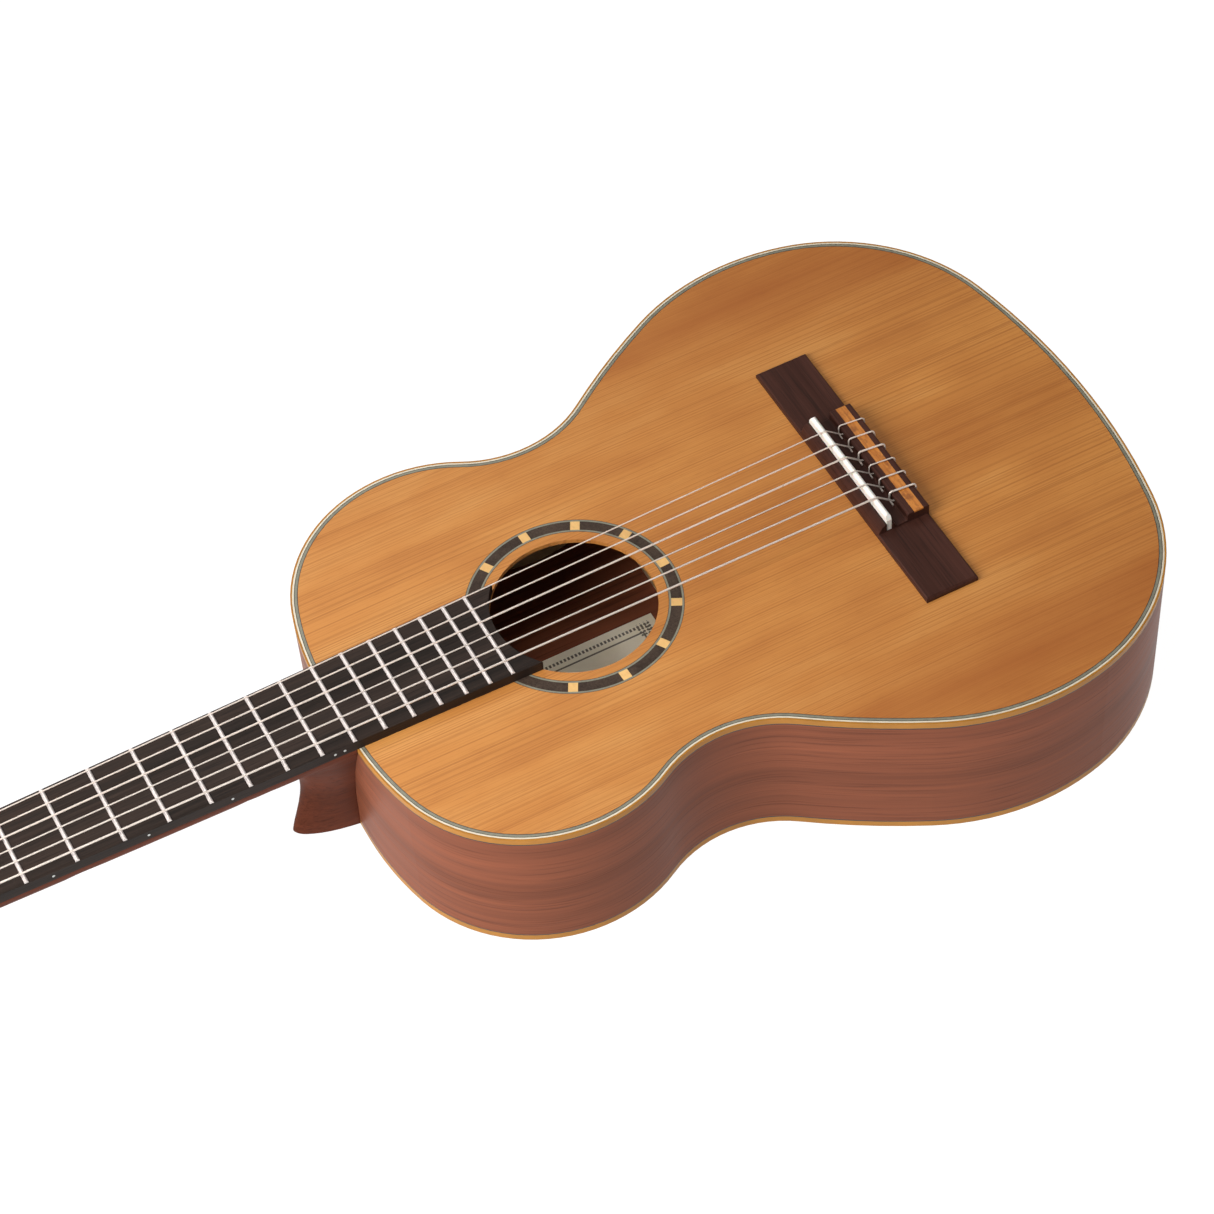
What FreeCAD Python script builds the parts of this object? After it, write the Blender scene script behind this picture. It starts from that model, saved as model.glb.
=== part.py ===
"""Small six-string nylon guitar, 590 mm scale, with a slotted head and six worm-geared tuning machines.

Row frame, in millimetres: the guitar lies on its back. +X runs along the centre line from the head to the
tail, +Y is the treble side and +Z points out of the soundboard. The origin is on the back's outer face, on
the centre line, in the middle of the body's length.
"""

import FreeCAD
import Part

import math
import os

V = FreeCAD.Vector
OUT = "parts"

# --- Body ---
DEPTH = 88.0  # back's outer face to the soundboard's outer face
TAIL_X = 218.0
# The half outline from the tail to the neck: tangent arcs, each with its radius and its turn in degrees.
# A negative pair is the hollow of the waist. The turns add up to 180, so the neck end is square.
OUTLINE = (
    (388.0, 12.7),
    (107.4, 62.8),
    (132.4, 41.9),
    (430.0, 9.0),
    (-64.7, -66.2),
    (82.1, 103.2),
    (171.4, 16.6),
)
TOP_T = 2.6
BACK_T = 2.8
SIDE_T = 2.2
BINDING_T = 1.0
TOP_BINDING_H = 3.6
BACK_BINDING_H = 4.0
SHADOW_LINE_H = 0.7  # dark line between a binding and the side
INLAY_DEPTH = 1.2
EDGE_LINE = (1.0, 1.9)  # insets from the edge
PURFLING_DARK = ((1.9, 2.25), (3.55, 3.9))
PURFLING_PALE = (2.25, 3.55)
LINING_T = 5.0
LINING_H = 12.0
NECK_BLOCK = (46.0, 60.0)  # length along X, width
TAIL_BLOCK = (16.0, 80.0)

# --- Neck, fingerboard and scale ---
SCALE = 590.0
FRETS = 18
JOIN_HALF_W = 27.0
BOARD_FLARE = 0.0174  # half width gained per millimetre towards the bridge
BOARD_T = 6.2
FRET_CROWN = (2.2, 1.0)  # width, height
FRET_TANG = (0.5, 1.8)
NUT_T = 5.0
NUT_H = 9.2
NUT_STRING_Z = DEPTH + 8.1
DOT_R = 0.75
DOTS = ((5, 0.0), (7, 0.0), (9, 0.0), (12, -2.6), (12, 2.6))  # fret, offset along X
NECK_DEPTH_HEEL = 17.5
NECK_DEPTH_NUT = 15.6
NECK_EXPONENT = 2.0  # roundness of the neck's back: 2 is an ellipse

# --- Soundhole and rosette ---
HOLE_R = 43.0
HOLE_FROM_JOIN = 134.5
ROSETTE_DARK = ((48.15, 48.4), (49.4, 55.0), (56.0, 56.25))
ROSETTE_PALE = ((48.4, 49.4), (55.0, 56.0))
SQUARES = 12
SQUARE_W = 4.9
SQUARE_TURN = 2.2  # degrees the set of squares stands off the centre line
PLAIN_UNDER_BOARD = 35.0  # degrees to either side of the neck where the band has no squares

# --- Bridge: lengths along X are measured from its front edge ---
BRIDGE_L = 30.0
BRIDGE_HALF_W = 88.5
WING_T = 3.2
WING_CHAMFER = 0.8
BLOCK_HALF_W = 40.2
SADDLE_AT = 6.5
SADDLE_T = 3.0
SADDLE_TOP = DEPTH + 13.9
SADDLE_COMPENSATION = 1.0
SLOT_FLOOR = 3.4
TIE_FRONT = 17.3
TIE_TOP = 9.5
TIE_HOLE_Z = 6.0
TIE_HOLE_R = 1.0
INLAY_SPAN = (21.1, 26.7)
INLAY_T = 1.0

# --- Strings, from the thin treble string to the thick bass string ---
STRING_D = (0.71, 0.82, 1.02, 0.76, 0.91, 1.09)
NUT_SPACING = 7.27
SADDLE_SPACING = 10.47
NUT_BEND = 5.0  # radii a string is bent to: over the nut, into its hole, round the tie block, at its tail
HOLE_BEND = 3.0
LOOP_BEND = 1.6
TAIL_BEND = 0.75

# --- Head, in its own frame: x along the head (negative towards its tip), z out of its face ---
HEAD_ANGLE = 15.0
HEAD_T = 19.5
HEAD_HALF_W = 31.5
HEAD_SQUARE_FROM = -22.0
HEAD_TIP = -163.0
VENEER_T = 1.5
SLOT_X = (-124.0, -24.0)
SLOT_Y = (9.0, 22.0)
RAMP_FROM = -14.0
RAMP_DEPTH = 7.0

# --- Tuning machines ---
ROLLER_X = (-42.0, -77.0, -112.0)
ROLLER_Z = -9.75
ROLLER_R = 4.8
ROLLER_HOLE_R = 5.3
ROLLER_Y = (4.6, 31.2)
STRING_LANDING = (16.0, 14.0, 14.0)  # where each string meets its roller
STRING_GAP = 0.3  # between a string's straight run and the turns that ride on its roller
WINDING_SIDE = (-1.0, 1.0, 1.0)  # towards the centre or away from it
WINDING_TURNS = 4
PLATE_T = 1.2
PLATE_X = (-130.0, -21.5)
PLATE_Z = (-18.6, -0.9)
PLATE_SCREWS_X = (-126.0, -92.0, -57.0, -25.5)
SCREW_R = 1.3
SCREW_L = 8.0
SCREW_HEAD_R = 2.4
BEARING_R = 3.0
RUNNING_GAP = 0.05
MODULE = 0.8
GEAR_TEETH = 14
TOOTH_ADDENDUM = 0.62
TOOTH_DEDENDUM = 0.95
GEAR_T = 4.0
GEAR_Y = 34.1
GEAR_SEAT_R = 2.4
GEAR_SCREW = (3.3, 1.7, 1.2, 5.0)  # head radius, head height, shank radius, shank length
WORM_PITCH_R = 2.4
WORM_L = 10.0
SHAFT_R = 1.5
TAB_T = 1.5
TAB_HALF_W = 3.0
SHAFT_TOP = 8.4  # above the roller's axis
SHAFT_END = -27.0
BUTTON_TOP = -20.9
# Button sections: depth below its top, half length, half thickness.
BUTTON_SECTIONS = (
    (0.0, 3.05, 3.0),
    (2.6, 3.3, 3.1),
    (6.0, 7.0, 3.6),
    (11.0, 8.6, 3.9),
    (16.0, 7.7, 3.4),
    (18.6, 4.6, 2.2),
)

# --- Braces inside the body ---
HARMONIC_BARS_X = (-146.0, -21.0)
HARMONIC_BAR = (7.0, 14.0)  # width, height
PATCH = (47.5, 60.0, 1.6)  # inner and outer radius, thickness
FAN_X = (-10.0, 165.0)
FAN_Y_START = 20.0
FAN_Y_END = 33.0
FAN = (5.0, 5.0)
BACK_BRACES_X = (-143.0, -10.0, 102.0)
BACK_BRACE = (8.0, 13.0)
CENTRE_STRIP = (16.0, 2.0)
LABEL_X = (-134.0, -24.0)
LABEL_HALF_W = 36.5
LABEL_T = 0.25

# ---------------------------------------------------------------- helpers


def box(x0, x1, y0, y1, z0, z1):
    """A box between two corners, given in any order along Y."""
    low, high = min(y0, y1), max(y0, y1)
    return Part.makeBox(x1 - x0, high - low, z1 - z0, V(x0, low, z0))


def cylinder_y(x, z, radius, y0, y1):
    """A cylinder along Y between two places."""
    return Part.makeCylinder(radius, abs(y1 - y0), V(x, min(y0, y1), z), V(0, 1, 0))


def tube(centre, inner, outer, z0, z1):
    """A flat ring about a vertical axis."""
    whole = Part.makeCylinder(outer, z1 - z0, V(centre, 0, z0))
    return whole.cut(Part.makeCylinder(inner, z1 - z0, V(centre, 0, z0)))


def prism_y(points, half_width):
    """A polygon of (x, z) points, extruded along Y on both sides of the centre line."""
    corners = [V(x, -half_width, z) for x, z in points]
    face = Part.Face(Part.makePolygon(corners + corners[:1]))
    return face.extrude(V(0, 2 * half_width, 0))


def fused(shapes):
    """One shape from several that meet or overlap."""
    return shapes[0].multiFuse(shapes[1:]).removeSplitter()


def group(shapes):
    """Separate solids that share a node."""
    solids = []
    for shape in shapes:
        solids.extend(shape.Solids)
    return Part.makeCompound(solids)


def rounded_path(points, radii):
    """Straight runs through the points, joined by tangent arcs of the given radii."""
    edges = []
    last = points[0]
    for before, corner, after, radius in zip(points, points[1:], points[2:], radii):
        inward = (before - corner).normalize()
        outward = (after - corner).normalize()
        half_turn = (math.pi - inward.getAngle(outward)) / 2
        reach = radius * math.tan(half_turn)
        start = corner + inward * reach
        end = corner + outward * reach
        bisector = (inward + outward).normalize()
        middle = corner + bisector * (radius / math.cos(half_turn) - radius)
        edges.append(Part.LineSegment(last, start).toShape())
        edges.append(Part.Arc(start, middle, end).toShape())
        last = end
    edges.append(Part.LineSegment(last, points[-1]).toShape())
    return Part.Wire(edges)


def swept_rod(path, points, radius):
    """A round rod along a path that starts straight."""
    direction = points[1] - points[0]
    rim = Part.Wire(Part.makeCircle(radius, points[0], direction))
    return path.makePipeShell([rim], True, True)


# ---------------------------------------------------------------- body outline


def half_outline(inset):
    """Arcs of the treble half as (start, middle, end) points in the XY plane, from the tail to the neck."""
    x, y, heading = TAIL_X - inset, 0.0, math.pi / 2
    arcs = []
    for radius, turn in OUTLINE:
        r = radius - inset
        centre_x = x - r * math.sin(heading)
        centre_y = y + r * math.cos(heading)
        angles = [heading + math.radians(turn) * share for share in (0.0, 0.5, 1.0)]
        points = [(centre_x + r * math.sin(a), centre_y - r * math.cos(a)) for a in angles]
        arcs.append(points)
        x, y = points[-1]
        heading = angles[-1]
    return arcs


JOIN_X = half_outline(0.0)[-1][-1][0]  # the 12th fret and the body's neck end
NUT_X = JOIN_X - SCALE / 2
HOLE_X = JOIN_X + HOLE_FROM_JOIN
SADDLE_X = JOIN_X + SCALE / 2 + SADDLE_COMPENSATION
BRIDGE_X = SADDLE_X - SADDLE_AT


def body_slab(inset, z0, z1):
    """The body's plan shape, drawn in by an inset, between two heights."""
    edges = []
    arcs = half_outline(inset)
    for side in (1.0, -1.0):
        for arc in arcs:
            edges.append(Part.Arc(*[V(x, side * y, z0) for x, y in arc]).toShape())
    end_x, end_y = arcs[-1][-1]
    edges.append(Part.LineSegment(V(end_x, end_y, z0), V(end_x, -end_y, z0)).toShape())
    wire = Part.Wire(Part.__sortEdges__(edges))
    return Part.Face(wire).extrude(V(0, 0, z1 - z0))


def body_ring(outer, inner, z0, z1):
    """A strip that follows the body's edge between two insets."""
    return body_slab(outer, z0, z1).cut(body_slab(inner, z0, z1))


def board_half_width(x):
    """Half the fingerboard's width at a place along X."""
    return JOIN_HALF_W + BOARD_FLARE * (x - JOIN_X)


def fret_x(number):
    """Place of a fret along X, by the twelve-tone rule."""
    return NUT_X + SCALE * (1 - 2 ** (-number / 12))


# ---------------------------------------------------------------- sound box

TOP_UNDER = DEPTH - TOP_T
SIDE_LOW = BACK_BINDING_H + SHADOW_LINE_H
SIDE_HIGH = DEPTH - TOP_BINDING_H - SHADOW_LINE_H


def soundboard():
    """The top plate, with its soundhole and the channels for the purfling and the rosette."""
    plate = body_slab(BINDING_T, TOP_UNDER, DEPTH)
    channel = body_ring(BINDING_T, PURFLING_DARK[-1][1], DEPTH - INLAY_DEPTH, DEPTH)
    rosette = tube(HOLE_X, ROSETTE_DARK[0][0], ROSETTE_DARK[-1][1], DEPTH - INLAY_DEPTH, DEPTH)
    hole = Part.makeCylinder(HOLE_R, TOP_T, V(HOLE_X, 0, TOP_UNDER))
    return plate.cut(channel).cut(rosette).cut(hole)


def side(sign):
    """One bent rib, from the neck to the tail, rebated for both bindings."""
    wall = fused(
        [
            body_ring(BINDING_T, SIDE_T, BACK_T, TOP_UNDER),
            body_ring(0.0, SIDE_T, SIDE_LOW, SIDE_HIGH),
        ]
    )
    half = box(-300, 300, 0, sign * 300, 0, DEPTH)
    return wall.common(half)


def purfling_dark():
    """Dark strips round the top, and the dark line that edges each binding on the side."""
    strips = [body_ring(a, b, DEPTH - INLAY_DEPTH, DEPTH) for a, b in PURFLING_DARK]
    strips.append(body_ring(0.0, BINDING_T, BACK_BINDING_H, SIDE_LOW))
    strips.append(body_ring(0.0, BINDING_T, SIDE_HIGH, DEPTH - TOP_BINDING_H))
    return group(strips)


def end_blocks():
    """The neck block and the tail block, fitted to the inside of the ribs."""
    inside = body_slab(SIDE_T, BACK_T, TOP_UNDER)
    start = JOIN_X + SIDE_T
    half = NECK_BLOCK[1] / 2
    neck_block = box(start - 5, start + NECK_BLOCK[0], -half, half, BACK_T, TOP_UNDER)
    end = TAIL_X - SIDE_T
    half = TAIL_BLOCK[1] / 2
    tail_block = box(end - TAIL_BLOCK[0], end + 5, -half, half, BACK_T, TOP_UNDER)
    return neck_block.common(inside), tail_block.common(inside)


def linings(blocks):
    """The two lining strips that glue the plates to the ribs, interrupted by the end blocks."""
    rings = [
        body_ring(SIDE_T, SIDE_T + LINING_T, BACK_T, BACK_T + LINING_H),
        body_ring(SIDE_T, SIDE_T + LINING_T, TOP_UNDER - LINING_H, TOP_UNDER),
    ]
    return group([ring.cut(blocks[0]).cut(blocks[1]) for ring in rings])


def soundboard_braces():
    """Two harmonic bars, the ring that stiffens the soundhole, and five fan struts."""
    width, height = HARMONIC_BAR
    inside = body_slab(SIDE_T + LINING_T, TOP_UNDER - height, TOP_UNDER)
    bars = [
        box(x - width / 2, x + width / 2, -200, 200, TOP_UNDER - height, TOP_UNDER).common(inside)
        for x in HARMONIC_BARS_X
    ]
    inner, outer, thick = PATCH
    ring = tube(HOLE_X, inner, outer, TOP_UNDER - thick, TOP_UNDER)
    length = FAN_X[1] - FAN_X[0]
    fans = []
    for step in (-2, -1, 0, 1, 2):
        strut = box(0, length, -FAN[0] / 2, FAN[0] / 2, TOP_UNDER - FAN[1], TOP_UNDER)
        spread = step * (FAN_Y_END - FAN_Y_START)
        strut.rotate(V(0, 0, 0), V(0, 0, 1), math.degrees(math.atan2(spread, length)))
        strut.translate(V(FAN_X[0], step * FAN_Y_START, 0))
        fans.append(strut)
    return group(bars + [ring] + fans)


def back_braces(tail_block):
    """Three cross braces and the strip that covers the back's centre seam."""
    width, height = BACK_BRACE
    inside = body_slab(SIDE_T + LINING_T, BACK_T, BACK_T + height)
    braces = [
        box(x - width / 2, x + width / 2, -200, 200, BACK_T, BACK_T + height).common(inside)
        for x in BACK_BRACES_X
    ]
    half, thick = CENTRE_STRIP[0] / 2, CENTRE_STRIP[1]
    neck_end = JOIN_X + SIDE_T + NECK_BLOCK[0]
    gaps = (
        (neck_end, BACK_BRACES_X[0] - width / 2),
        (BACK_BRACES_X[1] + width / 2, BACK_BRACES_X[2] - width / 2),
        (BACK_BRACES_X[2] + width / 2, tail_block.BoundBox.XMin),
    )
    strips = [box(a, b, -half, half, BACK_T, BACK_T + thick) for a, b in gaps]
    return group(braces + strips)


# ---------------------------------------------------------------- rosette


def rosette_squares():
    """Light blocks let into the dark band, evenly spaced except under the fingerboard."""
    inner, outer = ROSETTE_DARK[1]
    band = tube(HOLE_X, inner, outer, DEPTH - INLAY_DEPTH, DEPTH)
    blocks = []
    for index in range(SQUARES):
        turn = index * 360 / SQUARES + SQUARE_TURN
        if abs(turn - 180) < PLAIN_UNDER_BOARD:
            continue
        block = box(inner - 2, outer + 2, -SQUARE_W / 2, SQUARE_W / 2, DEPTH - INLAY_DEPTH, DEPTH)
        block.rotate(V(0, 0, 0), V(0, 0, 1), turn)
        block.translate(V(HOLE_X, 0, 0))
        blocks.append(block.common(band))
    return group(blocks)


def rosette_rings(spans):
    """Rings about the soundhole between pairs of radii."""
    return [tube(HOLE_X, a, b, DEPTH - INLAY_DEPTH, DEPTH) for a, b in spans]


# ---------------------------------------------------------------- bridge


def bridge_block_profile():
    """The raised middle of the bridge in section: bevelled front, saddle slot, trough and tie block."""
    slot_front = SADDLE_AT - SADDLE_T / 2
    slot_back = SADDLE_AT + SADDLE_T / 2
    return (
        (0.0, 0.0),
        (0.0, 2.4),
        (0.9, 5.2),
        (2.4, 7.6),
        (3.9, 8.7),
        (slot_front, 8.8),
        (slot_front, SLOT_FLOOR),
        (slot_back, SLOT_FLOOR),
        (slot_back, 7.2),
        (9.6, 7.0),
        (10.8, 4.4),
        (16.4, 4.4),
        (TIE_FRONT, 5.2),
        (TIE_FRONT, TIE_TOP - 0.8),
        (TIE_FRONT + 0.8, TIE_TOP),
        (BRIDGE_L - 0.5, TIE_TOP),
        (BRIDGE_L, TIE_TOP - 0.5),
        (BRIDGE_L, 0.0),
    )


def on_bridge(points):
    """Bridge profile points moved into the row frame."""
    return [(BRIDGE_X + x, DEPTH + z) for x, z in points]


def inlay_strip():
    """The wood strip let into the top of the tie block."""
    a, b = INLAY_SPAN
    top = DEPTH + TIE_TOP
    return box(BRIDGE_X + a, BRIDGE_X + b, -BLOCK_HALF_W, BLOCK_HALF_W, top - INLAY_T, top)


def bridge():
    """Bridge base with thin wings and the raised middle, drilled for the strings."""
    c = WING_CHAMFER
    flat = ((0, 0), (BRIDGE_L, 0), (BRIDGE_L, WING_T - c), (BRIDGE_L - c, WING_T), (c, WING_T), (0, WING_T - c))
    wings = prism_y(on_bridge(flat), BRIDGE_HALF_W)
    for side_sign in (1, -1):
        tip = [
            V(BRIDGE_X - 1, side_sign * (BRIDGE_HALF_W + 1), DEPTH + WING_T - 2.2),
            V(BRIDGE_X - 1, side_sign * (BRIDGE_HALF_W + 1), DEPTH + WING_T + 1),
            V(BRIDGE_X - 1, side_sign * (BRIDGE_HALF_W - 2.2), DEPTH + WING_T + 1),
        ]
        wedge = Part.Face(Part.makePolygon(tip + tip[:1])).extrude(V(BRIDGE_L + 2, 0, 0))
        wings = wings.cut(wedge)
    shape = fused([wings, prism_y(on_bridge(bridge_block_profile()), BLOCK_HALF_W)])
    slot = box(
        SADDLE_X - SADDLE_T / 2,
        SADDLE_X + SADDLE_T / 2,
        -BLOCK_HALF_W,
        BLOCK_HALF_W,
        DEPTH + SLOT_FLOOR,
        DEPTH + TIE_TOP + 1,
    )
    shape = shape.cut(slot).cut(inlay_strip())
    for number in range(6):
        start = V(BRIDGE_X + TIE_FRONT - 1, string_y(number, SADDLE_SPACING), DEPTH + TIE_HOLE_Z)
        shape = shape.cut(Part.makeCylinder(TIE_HOLE_R, BRIDGE_L, start, V(1, 0, 0)))
    return shape


def saddle():
    """Bone saddle with a rounded crest and sloped ends."""
    half = SADDLE_T / 2
    low = DEPTH + SLOT_FLOOR
    spring = SADDLE_TOP - half
    corners = [V(SADDLE_X - half, 0, spring), V(SADDLE_X - half, 0, low)]
    corners += [V(SADDLE_X + half, 0, low), V(SADDLE_X + half, 0, spring)]
    edges = [Part.LineSegment(a, b).toShape() for a, b in zip(corners, corners[1:])]
    edges.append(Part.Arc(corners[-1], V(SADDLE_X, 0, SADDLE_TOP), corners[0]).toShape())
    length = 2 * (BLOCK_HALF_W - 0.4)
    blank = Part.Face(Part.Wire(edges)).extrude(V(0, length, 0))
    blank.translate(V(0, -length / 2, 0))
    end = BLOCK_HALF_W - 0.4
    for sign in (1, -1):
        tip = [
            V(SADDLE_X - 3, sign * (end + 1), DEPTH + 9.0),
            V(SADDLE_X - 3, sign * (end + 1), SADDLE_TOP + 1),
            V(SADDLE_X - 3, sign * (end - 2.4), SADDLE_TOP + 1),
        ]
        blank = blank.cut(Part.Face(Part.makePolygon(tip + tip[:1])).extrude(V(6, 0, 0)))
    return blank


# ---------------------------------------------------------------- fingerboard


def board_prism(half_inset, x0, x1, z0, z1):
    """A tapered slab that follows the fingerboard's edges."""
    a = board_half_width(x0) - half_inset
    b = board_half_width(x1) - half_inset
    corners = [V(x0, -a, z0), V(x1, -b, z0), V(x1, b, z0), V(x0, a, z0)]
    return Part.Face(Part.makePolygon(corners + corners[:1])).extrude(V(0, 0, z1 - z0))


def side_dots():
    """Marker dots in the bass edge of the fingerboard."""
    dots = []
    for number, offset in DOTS:
        x = (fret_x(number) + fret_x(number - 1)) / 2 + offset
        edge = -board_half_width(x)
        dots.append(cylinder_y(x, DEPTH + BOARD_T / 2, DOT_R, edge - 1, edge + 1.6))
    board = board_prism(0, NUT_X, HOLE_X, DEPTH, DEPTH + BOARD_T)
    return group([dot.common(board) for dot in dots])


def frets():
    """Round-topped frets with their tangs, bevelled at the ends."""
    width, height = FRET_CROWN
    tang_w, tang_h = FRET_TANG
    base = DEPTH + BOARD_T
    made = []
    for number in range(1, FRETS + 1):
        x = fret_x(number)
        half = board_half_width(x) - 0.3
        crown_ends = [V(x - width / 2, -half, base), V(x + width / 2, -half, base)]
        arc = Part.Arc(crown_ends[0], V(x, -half, base + height), crown_ends[1]).toShape()
        chord = Part.LineSegment(crown_ends[1], crown_ends[0]).toShape()
        crown = Part.Face(Part.Wire([arc, chord])).extrude(V(0, 2 * half, 0))
        for sign in (1, -1):
            tip = [
                V(x - width, sign * (half + 0.1), base),
                V(x - width, sign * (half + 0.1), base + 2 * height),
                V(x - width, sign * (half - 1.1), base + 2 * height),
            ]
            crown = crown.cut(Part.Face(Part.makePolygon(tip + tip[:1])).extrude(V(2 * width, 0, 0)))
        tang = box(x - tang_w / 2, x + tang_w / 2, -half, half, base - tang_h, base)
        made.append(fused([crown, tang]))
    return group(made)


def fingerboard(fret_group, dots):
    """Flat board, slotted for the frets, with its end hollowed to follow the soundhole."""
    board = board_prism(0, NUT_X, HOLE_X, DEPTH, DEPTH + BOARD_T)
    board = board.cut(Part.makeCylinder(HOLE_R, BOARD_T, V(HOLE_X, 0, DEPTH)))
    return board.cut(fret_group).cut(dots)


def nut():
    """Bone nut, grooved for each string."""
    half = board_half_width(NUT_X)
    blank = prism_y(
        (
            (NUT_X - NUT_T, DEPTH),
            (NUT_X, DEPTH),
            (NUT_X, DEPTH + NUT_H),
            (NUT_X - NUT_T + 1.6, DEPTH + NUT_H),
            (NUT_X - NUT_T, DEPTH + NUT_H - 1.6),
        ),
        half,
    )
    for number, diameter in enumerate(STRING_D):
        radius = diameter / 2 + 0.12
        y = string_y(number, NUT_SPACING)
        corner = V(nut_corner_x(), y, NUT_STRING_Z + diameter / 2)
        for target in (string_points(number)[0], V(NUT_X + 10, y, corner.z + 0.1)):
            reach = target - corner
            groove = Part.makeCylinder(radius, 20, corner - reach.normalize() * 1.5, reach)
            blank = blank.cut(groove)
        top = box(NUT_X - NUT_T - 1, NUT_X + 1, y - radius, y + radius, corner.z + 0.05, DEPTH + NUT_H + 1)
        blank = blank.cut(top)
    return blank


# ---------------------------------------------------------------- head frame and strings

HEAD_ORIGIN = V(NUT_X - NUT_T, 0, DEPTH)
HEAD_PLACE = FreeCAD.Placement(HEAD_ORIGIN, FreeCAD.Rotation(V(0, 1, 0), -HEAD_ANGLE))


def placed(shape):
    """A shape drawn in the head's frame, moved into the row frame."""
    moved = shape.copy()
    moved.Placement = HEAD_PLACE.multiply(shape.Placement)
    return moved


def string_y(number, spacing):
    """Y of a string, treble first, for a given spacing."""
    return (2.5 - number) * spacing


def string_seat(number):
    """(side sign, place along the head) of a string's roller: outer strings take the nearest rollers."""
    return (1, number) if number < 3 else (-1, 5 - number)


def nut_corner_x():
    """Where the strings bend over the nut."""
    return NUT_X - NUT_T / 2


def touch_angle(centre, radius, point, side):
    """Angle at which a line from a point touches a round from above; side +1 if it comes from +X."""
    reach = point - centre
    return math.atan2(reach.z, reach.x) + side * math.acos(radius / math.hypot(reach.x, reach.z))


def landing(number):
    """The point, in the row frame, where a string comes down on top of its roller."""
    sign, place = string_seat(number)
    radius = ROLLER_R + STRING_D[number] / 2 + STRING_GAP
    corner = V(nut_corner_x(), 0, NUT_STRING_Z + STRING_D[number] / 2)
    axis = V(ROLLER_X[place], 0, ROLLER_Z)
    angle = touch_angle(axis, radius, HEAD_PLACE.inverse().multVec(corner), 1)
    along, up = radius * math.cos(angle), radius * math.sin(angle)
    return HEAD_PLACE.multVec(axis + V(along, sign * STRING_LANDING[place], up))


def saddle_bend(number):
    """Radius of a string's bend over the saddle."""
    return SADDLE_T / 2 + STRING_D[number] / 2 + 0.1


def saddle_corner(number, before, after):
    """Where a string's two straight runs would meet above the saddle's rounded crest."""
    crest = V(SADDLE_X, 0, SADDLE_TOP - SADDLE_T / 2)
    radius = saddle_bend(number)
    first = touch_angle(crest, radius, before, -1)
    last = touch_angle(crest, radius, after, 1)
    middle = (first + last) / 2
    reach = radius / math.cos((first - last) / 2)
    return crest + V(reach * math.cos(middle), string_y(number, SADDLE_SPACING), reach * math.sin(middle))


def string_points(number):
    """Corner points of a string: roller, nut, saddle, through the tie block and back over it in a loop."""
    r = STRING_D[number] / 2
    y = string_y(number, SADDLE_SPACING)
    top = DEPTH + TIE_TOP + r + 0.1
    hole_z = DEPTH + TIE_HOLE_Z
    front = BRIDGE_X + TIE_FRONT
    back = BRIDGE_X + BRIDGE_L
    over_nut = V(nut_corner_x(), string_y(number, NUT_SPACING), NUT_STRING_Z + r)
    into_hole = V(front - 0.6, y, hole_z + 0.1)
    return [
        landing(number),
        over_nut,
        saddle_corner(number, over_nut, into_hole),
        into_hole,
        V(back + r + 0.35, y, hole_z - 0.1),
        V(back + r + 0.35, y + 1.2, top + 0.25),
        V(front - r - 0.45, y + 2.7, top + 0.25),
        V(front - r - 0.75, y + 2.2, DEPTH + 5.1),
        V(front - r - 0.85, y - 1.9, DEPTH + 4.4 + r + 0.05),
    ]


def string(number):
    """One string, bent over the nut and saddle and tied at the bridge."""
    points = string_points(number)
    radii = (NUT_BEND, saddle_bend(number), HOLE_BEND, LOOP_BEND, LOOP_BEND, LOOP_BEND, TAIL_BEND)
    return swept_rod(rounded_path(points, radii), points, STRING_D[number] / 2)


# ---------------------------------------------------------------- neck


def back_curve(half_width, depth, exponent, place, steps=12):
    """A closed section, flat on top and rounded below, drawn in the YZ plane and then placed."""
    points = []
    for step in range(steps + 1):
        angle = math.pi * step / steps
        c, s = math.cos(angle), math.sin(angle)
        y = half_width * math.copysign(abs(c) ** (2 / exponent), c)
        points.append(V(0, y, -depth * abs(s) ** (2 / exponent)))
    spline = Part.BSplineCurve()
    spline.interpolate(points)
    wire = Part.Wire([spline.toShape(), Part.LineSegment(points[-1], points[0]).toShape()])
    wire.Placement = place
    return wire


def at_x(x):
    """A section plane square to the neck."""
    return FreeCAD.Placement(V(x, 0, DEPTH), FreeCAD.Rotation())


def in_head(x):
    """A section plane square to the head."""
    return HEAD_PLACE.multiply(FreeCAD.Placement(V(x, 0, 0), FreeCAD.Rotation()))


def head_plan():
    """Plan of the head from the nut to its crest: a flare, square sides and a plain waved crest."""
    flare = ((0.0, board_half_width(NUT_X)), (-12.0, 26.0), (HEAD_SQUARE_FROM, HEAD_HALF_W))
    shoulder = ((-147.0, HEAD_HALF_W), (-153.5, 26.5), (-155.0, 17.0))
    edges = []
    for sign in (1, -1):
        for curve in (flare, shoulder):
            edges.append(Part.Arc(*[V(x, sign * y, 0) for x, y in curve]).toShape())
        a, b = flare[-1], shoulder[0]
        edges.append(Part.LineSegment(V(a[0], sign * a[1], 0), V(b[0], sign * b[1], 0)).toShape())
    x, y = shoulder[-1]
    edges.append(Part.Arc(V(x, y, 0), V(HEAD_TIP, 0, 0), V(x, -y, 0)).toShape())
    x, y = flare[0]
    edges.append(Part.LineSegment(V(x, y, 0), V(x, -y, 0)).toShape())
    return Part.Face(Part.Wire(Part.__sortEdges__(edges)))


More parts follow.
